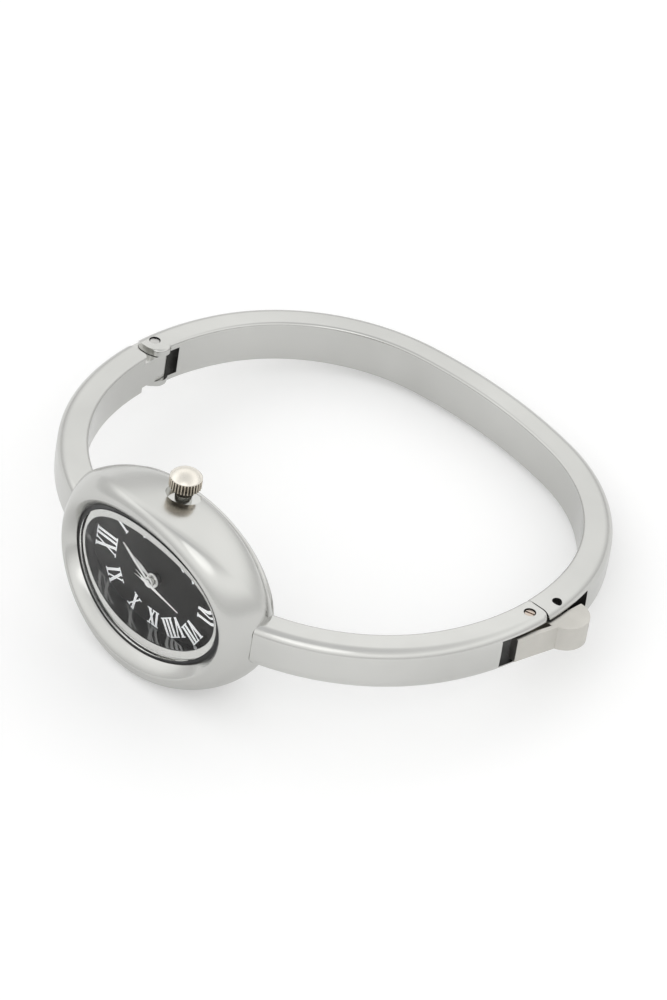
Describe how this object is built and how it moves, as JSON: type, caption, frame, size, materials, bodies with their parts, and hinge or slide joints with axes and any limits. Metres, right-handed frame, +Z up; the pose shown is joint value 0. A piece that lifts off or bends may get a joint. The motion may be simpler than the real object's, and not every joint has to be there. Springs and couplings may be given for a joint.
{
  "type": "bangle watch",
  "caption": "Rigid bangle watch with a bowed oval case, black dial, ribbed crown, hinged back arc and a lever clasp on a screw pin.",
  "frame": {"origin": "centre of the wrist opening, halfway up the strap's width", "axes": "the watch lies on its 9 o'clock side: +X towards 6 o'clock and the clasp, -Y out of the dial, +Z up, which is the 3 o'clock side; the strap's plane leans by the angle at which case and strap both rest on a table"},
  "size_m": [0.0636, 0.0578, 0.0235],
  "materials": {
    "satin_steel": "satin polished steel",
    "polished_steel": "mirror polished",
    "pin_steel": "fine turned steel",
    "cast_nickel": "cast nickel, slightly dull",
    "warm_nickel": "polished warm nickel",
    "crystal_glass": "clear mineral glass",
    "black_rubber": "matt",
    "black_dial": "semi-matt black with white printed numerals",
    "white_plastic": "moulded",
    "white_hands": "white-silver",
    "brass_plate": "machined",
    "brass_wheel": "cut wheels",
    "green_board": "printed circuit board",
    "black_plastic": "moulded",
    "copper_wire": "enamelled copper winding"
  },
  "bodies": {
    "watch": {"case_shell": "satin_steel", "rim_plate": "satin_steel", "caseback": "satin_steel", "caseback_gasket": "black_rubber", "crystal": "crystal_glass", "crystal_gasket": "black_rubber", "dial_ring": "polished_steel", "dial": "black_dial", "dial_spacer": "white_plastic", "crown_tube": "satin_steel", "crown_gasket": "black_rubber", "movement_holder": "white_plastic", "main_plate": "brass_plate", "train_bridge": "brass_plate", "bridge_screws": "pin_steel", "circuit_board": "green_board", "driver_chip": "black_plastic", "quartz_can": "pin_steel", "battery": "pin_steel", "battery_strap": "pin_steel", "coil": "copper_wire", "coil_core": "pin_steel", "stator": "pin_steel", "arm_12": "satin_steel", "arm_6": "satin_steel", "clasp_screw": "pin_steel"},
    "back_arc": {"back_arc": "satin_steel", "hinge_pin": "pin_steel", "latch_pin": "pin_steel"},
    "clasp_lever": {"clasp_lever": "cast_nickel", "catch_spring": "cast_nickel"},
    "crown_slide": {"setting_slide": "pin_steel"},
    "crown": {"crown": "warm_nickel", "stem": "pin_steel"},
    "minute_hand": {"minute_hand": "white_hands", "cannon_pinion": "brass_wheel"},
    "minute_wheel": {"minute_wheel": "brass_wheel"},
    "hour_hand": {"hour_hand": "white_hands", "hour_wheel": "brass_wheel"},
    "second_hand": {"second_hand": "white_hands", "seconds_wheel": "brass_wheel"},
    "third_wheel": {"third_wheel": "brass_wheel"},
    "intermediate_wheel": {"intermediate_wheel": "brass_wheel"},
    "rotor": {"rotor": "pin_steel"},
    "centre_wheel": {"centre_wheel": "brass_wheel"}
  },
  "joints": [
    {"name": "arc_swing", "type": "hinge", "parent": "watch", "child": "back_arc", "pos_m": [-0.02898, 0.00152, -0.00022], "axis": [0, 0.1454, 0.9894], "range_deg": [0, 60], "deforming": ["catch_spring"]},
    {"name": "lever_turn", "type": "hinge", "parent": "watch", "child": "clasp_lever", "pos_m": [0.02898, 0.00201, -0.0003], "axis": [0, -0.1454, -0.9894], "range_deg": [0, 100]},
    {"name": "crown_pull", "type": "slide", "parent": "watch", "child": "crown_slide", "axis": [0, 0.1454, 0.9894], "range_m": [-0.00075, 0]},
    {"name": "crown_turn", "type": "hinge", "parent": "crown_slide", "child": "crown", "pos_m": [0, -0.02048, 0.01312], "axis": [0, 0.1454, 0.9894], "continuous": true},
    {"name": "minute_wheel_turn", "type": "hinge", "parent": "watch", "child": "minute_wheel", "pos_m": [0, -0.02187, 0.00503], "axis": [0, -0.9894, 0.1454], "continuous": true},
    {"name": "minute_turn", "type": "hinge", "parent": "watch", "child": "minute_hand", "pos_m": [0, -0.02214, 0.00325], "axis": [0, -0.9894, 0.1454], "continuous": true},
    {"name": "hour_turn", "type": "hinge", "parent": "watch", "child": "hour_hand", "pos_m": [0, -0.02214, 0.00325], "axis": [0, -0.9894, 0.1454], "continuous": true},
    {"name": "second_turn", "type": "hinge", "parent": "watch", "child": "second_hand", "pos_m": [0, -0.02214, 0.00325], "axis": [0, -0.9894, 0.1454], "continuous": true},
    {"name": "third_turn", "type": "hinge", "parent": "watch", "child": "third_wheel", "pos_m": [-0.0008, -0.02077, 0.00568], "axis": [0, -0.9894, 0.1454], "continuous": true},
    {"name": "intermediate_turn", "type": "hinge", "parent": "watch", "child": "intermediate_wheel", "pos_m": [0.0016, -0.0213, 0.00206], "axis": [0, -0.9894, 0.1454], "continuous": true},
    {"name": "rotor_turn", "type": "hinge", "parent": "watch", "child": "rotor", "pos_m": [0.00249, -0.02147, 0.0009], "axis": [0, -0.9894, 0.1454], "continuous": true},
    {"name": "centre_turn", "type": "hinge", "parent": "watch", "child": "centre_wheel", "pos_m": [0, -0.02115, 0.00311], "axis": [0, -0.9894, 0.1454], "continuous": true}
  ],
  "couplings": [
    {"joint": "minute_wheel_turn", "follows": "crown_turn", "ratio": -0.26667},
    {"joint": "minute_turn", "follows": "crown_turn", "ratio": 0.8},
    {"joint": "hour_turn", "follows": "crown_turn", "ratio": 0.066667},
    {"joint": "intermediate_turn", "follows": "second_turn", "ratio": -5},
    {"joint": "rotor_turn", "follows": "second_turn", "ratio": 30},
    {"joint": "third_turn", "follows": "second_turn", "ratio": -0.13333},
    {"joint": "centre_turn", "follows": "second_turn", "ratio": 0.016667}
  ]
}
